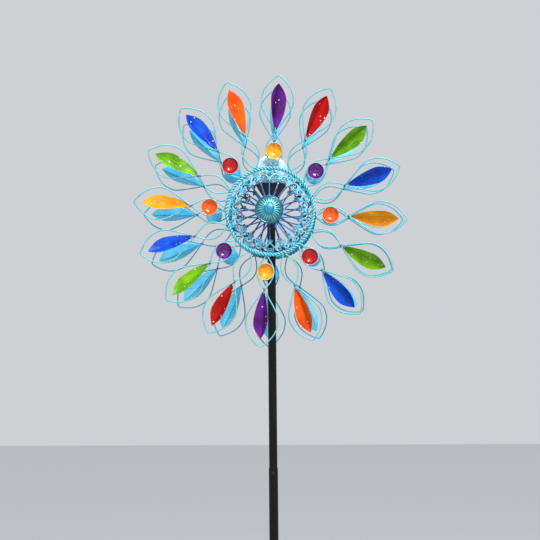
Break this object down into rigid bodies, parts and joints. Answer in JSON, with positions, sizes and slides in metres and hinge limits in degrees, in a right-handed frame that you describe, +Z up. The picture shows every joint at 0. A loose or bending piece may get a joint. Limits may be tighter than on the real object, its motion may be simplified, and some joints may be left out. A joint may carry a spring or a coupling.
{
  "type": "garden windmill",
  "caption": "Garden windmill: two petal wheels back to back that spin freely on one axle, a solar glass globe above it, a jointed pole and a forked ground stake.",
  "frame": {"origin": "on the pole's axis at ground level, where the stake enters the ground", "axes": "+Z up along the pole, -Y the way the front wheel faces, +X to the right as seen from the front"},
  "size_m": [0.6096, 0.198, 2.1348],
  "materials": {
    "purple_enamel": "gloss enamel with fine glitter",
    "red_enamel": "gloss enamel with fine glitter",
    "green_enamel": "gloss enamel with fine glitter",
    "blue_enamel": "gloss enamel with fine glitter",
    "amber_enamel": "gloss enamel with fine glitter",
    "orange_enamel": "gloss enamel with fine glitter",
    "turquoise_enamel": "satin enamel, lighter on the high places",
    "teal_enamel": "satin enamel",
    "black_paint": "satin powder coat",
    "black_plastic": "fine moulded texture",
    "zinc_steel": "zinc plated",
    "battery_sleeve": "shrink sleeve",
    "solar_cell_face": "dark blue cell under clear resin",
    "led_epoxy": "clear epoxy",
    "crackle_glass": "crackled clear glass",
    "switch_plastic": "moulded"
  },
  "bodies": {
    "stand": {"axle_shaft": "zinc_steel", "axle_cross_tube": "black_paint", "front_lock_nut": "zinc_steel", "rear_lock_nut": "zinc_steel", "pole_upper": "black_paint", "pole_middle": "black_paint", "pole_lower": "black_paint", "pole_screw_upper": "zinc_steel", "pole_screw_lower": "zinc_steel", "ground_spike": "black_paint", "ground_fork": "black_paint", "light_cup": "black_plastic", "light_module": "black_plastic", "battery_cell": "battery_sleeve", "solar_cell": "solar_cell_face", "led_lamp": "led_epoxy", "glass_globe": "crackle_glass"},
    "front_wheel": {"front_wheel_frame": "turquoise_enamel", "front_filigree": "turquoise_enamel", "front_hub_sleeve": "turquoise_enamel", "front_bearing": "zinc_steel", "front_hub_cap": "teal_enamel", "front_petal_01": "purple_enamel", "front_petal_02": "red_enamel", "front_petal_03": "green_enamel", "front_petal_04": "blue_enamel", "front_petal_05": "amber_enamel", "front_petal_06": "green_enamel", "front_petal_07": "blue_enamel", "front_petal_08": "orange_enamel", "front_petal_09": "purple_enamel", "front_petal_10": "red_enamel", "front_petal_11": "green_enamel", "front_petal_12": "blue_enamel", "front_petal_13": "amber_enamel", "front_petal_14": "green_enamel", "front_petal_15": "blue_enamel", "front_petal_16": "orange_enamel"},
    "rear_wheel": {"rear_wheel_frame": "turquoise_enamel", "rear_filigree": "turquoise_enamel", "rear_hub_sleeve": "turquoise_enamel", "rear_bearing": "zinc_steel", "rear_hub_cap": "teal_enamel", "rear_petal_01": "purple_enamel", "rear_petal_02": "red_enamel", "rear_petal_03": "green_enamel", "rear_petal_04": "blue_enamel", "rear_petal_05": "amber_enamel", "rear_petal_06": "green_enamel", "rear_petal_07": "blue_enamel", "rear_petal_08": "orange_enamel", "rear_petal_09": "purple_enamel", "rear_petal_10": "red_enamel", "rear_petal_11": "green_enamel", "rear_petal_12": "blue_enamel", "rear_petal_13": "amber_enamel", "rear_petal_14": "green_enamel", "rear_petal_15": "blue_enamel", "rear_petal_16": "orange_enamel"},
    "switch_knob": {"power_switch": "switch_plastic"}
  },
  "joints": [
    {"name": "front_wheel_spin", "type": "hinge", "parent": "stand", "child": "front_wheel", "pos_m": [0, -0.065, 1.595], "axis": [0, 1, 0], "continuous": true},
    {"name": "rear_wheel_spin", "type": "hinge", "parent": "stand", "child": "rear_wheel", "pos_m": [0, 0.065, 1.595], "axis": [0, 1, 0], "continuous": true},
    {"name": "power_switch_slide", "type": "slide", "parent": "stand", "child": "switch_knob", "axis": [1, 0, 0], "range_m": [0, 0.004]}
  ]
}
